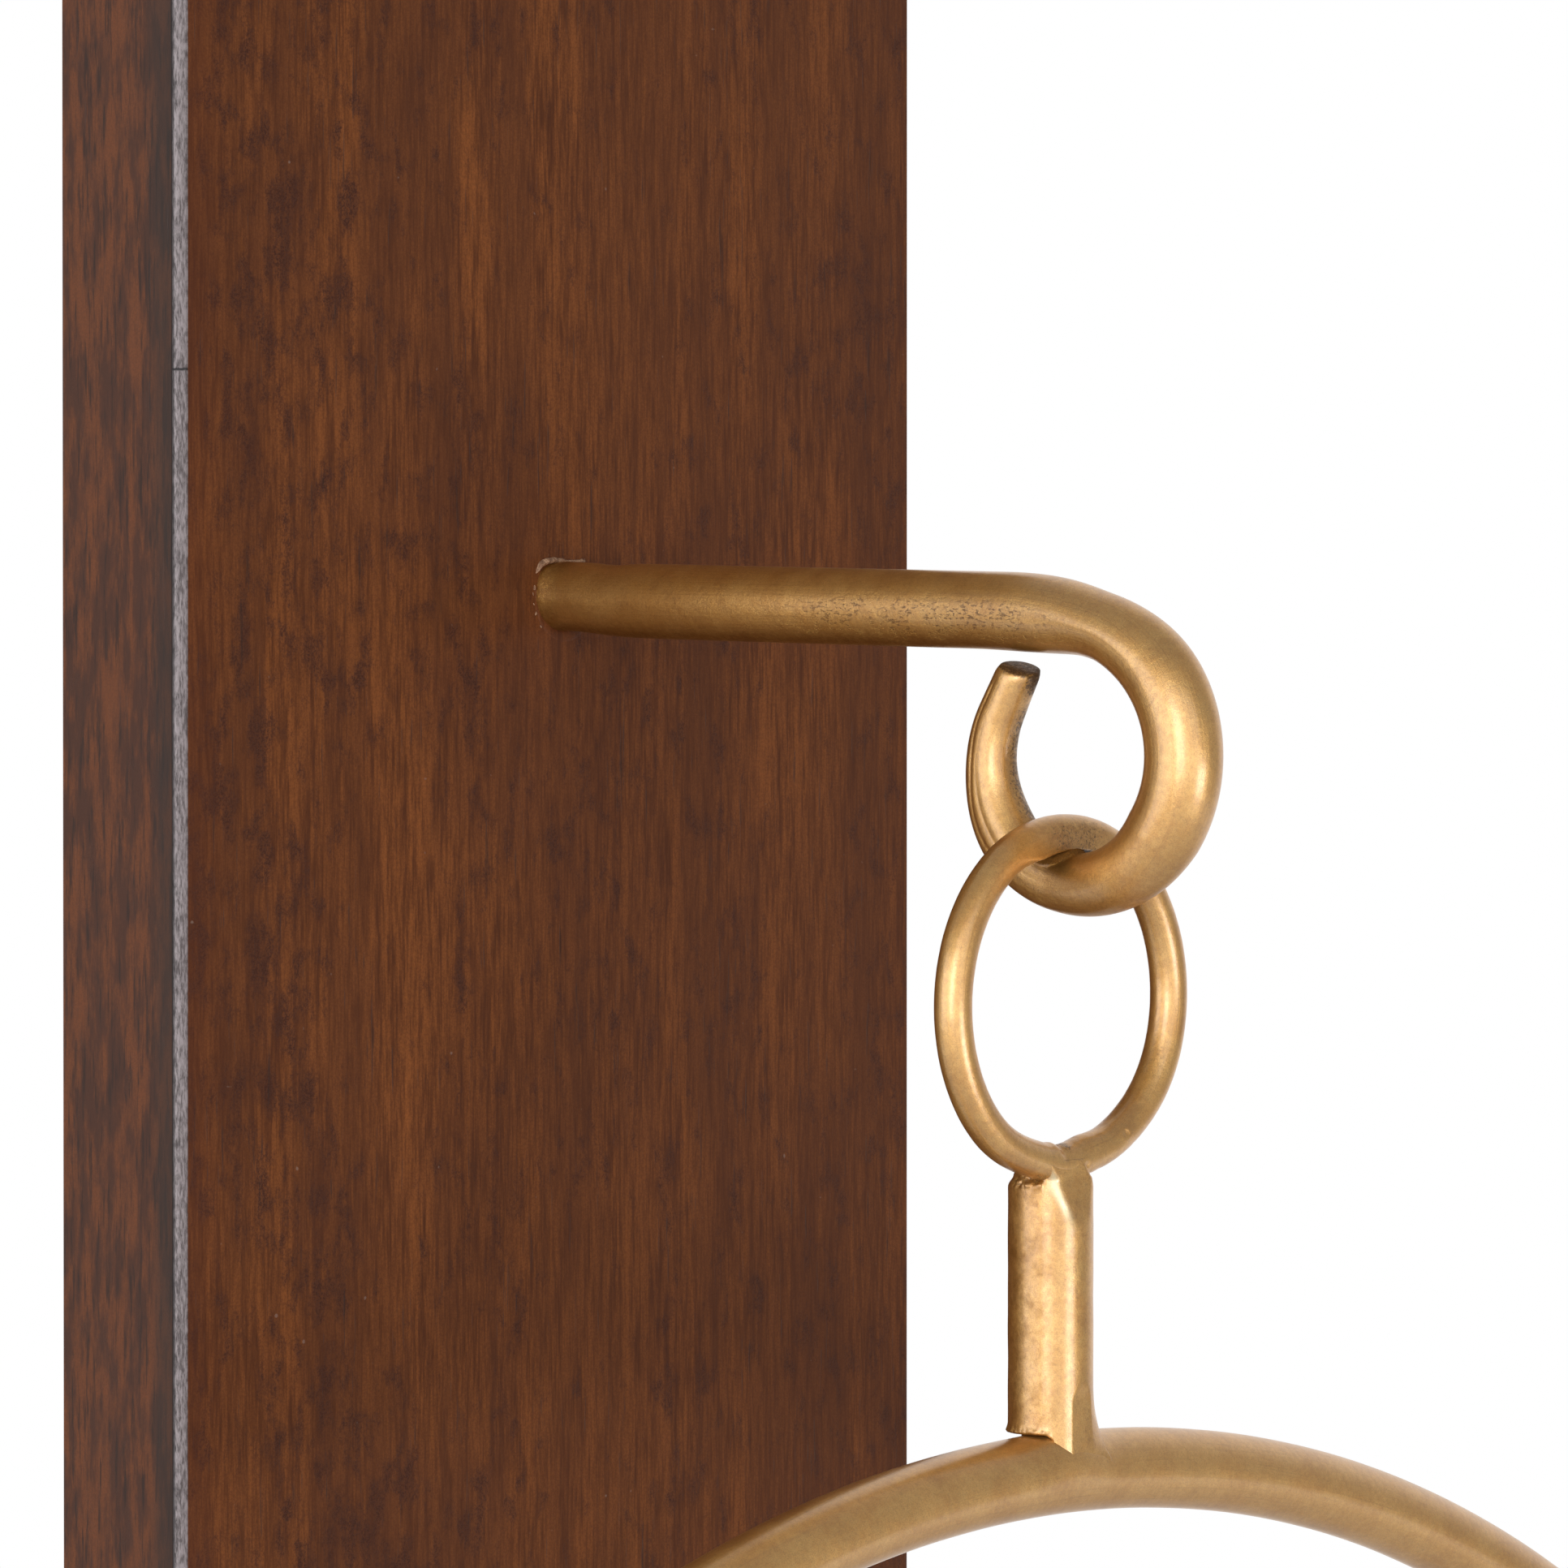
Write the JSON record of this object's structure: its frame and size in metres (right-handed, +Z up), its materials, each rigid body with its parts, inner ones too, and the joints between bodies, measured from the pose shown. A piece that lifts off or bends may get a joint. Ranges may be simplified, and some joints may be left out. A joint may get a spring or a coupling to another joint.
{
  "type": "wall board with hook and hanging hoop",
  "caption": "Upright wall board with a curled iron hook that carries a free-swinging hoop on a welded stem and ring.",
  "frame": {"origin": "midway between the two keyhole entries, on the board's rear face", "axes": "+Z up along the board, +Y towards the wall, -Y out into the room, +X to the right as seen from the room"},
  "size_m": [0.4401, 0.1319, 0.6631],
  "materials": {
    "stained_wood": "dark walnut stain, satin",
    "gold_paint": "antique gold, satin",
    "zinc_plate": "zinc plated, dull",
    "screw_steel": "zinc plated",
    "bumper_rubber": "matte black"
  },
  "bodies": {
    "wall_bracket": {"backboard": "stained_wood", "hook_rod": "gold_paint", "hook_back_plate": "zinc_plate", "back_plate_weld": "zinc_plate", "back_plate_screws": "screw_steel", "keyhole_plate_left": "zinc_plate", "keyhole_plate_right": "zinc_plate", "keyhole_screws": "screw_steel", "wall_bumper_1": "bumper_rubber", "wall_bumper_2": "bumper_rubber", "wall_bumper_3": "bumper_rubber", "wall_bumper_4": "bumper_rubber"},
    "hanger": {"hanger_ring": "gold_paint", "hanger_stem": "gold_paint", "ring_weld": "gold_paint", "hoop": "gold_paint", "hoop_weld": "gold_paint"}
  },
  "joints": [
    {"name": "hoop_swing", "type": "hinge", "parent": "wall_bracket", "child": "hanger", "pos_m": [0, -0.10538, -0.13431], "axis": [0, 1, 0], "range_deg": [-90, 90]}
  ]
}
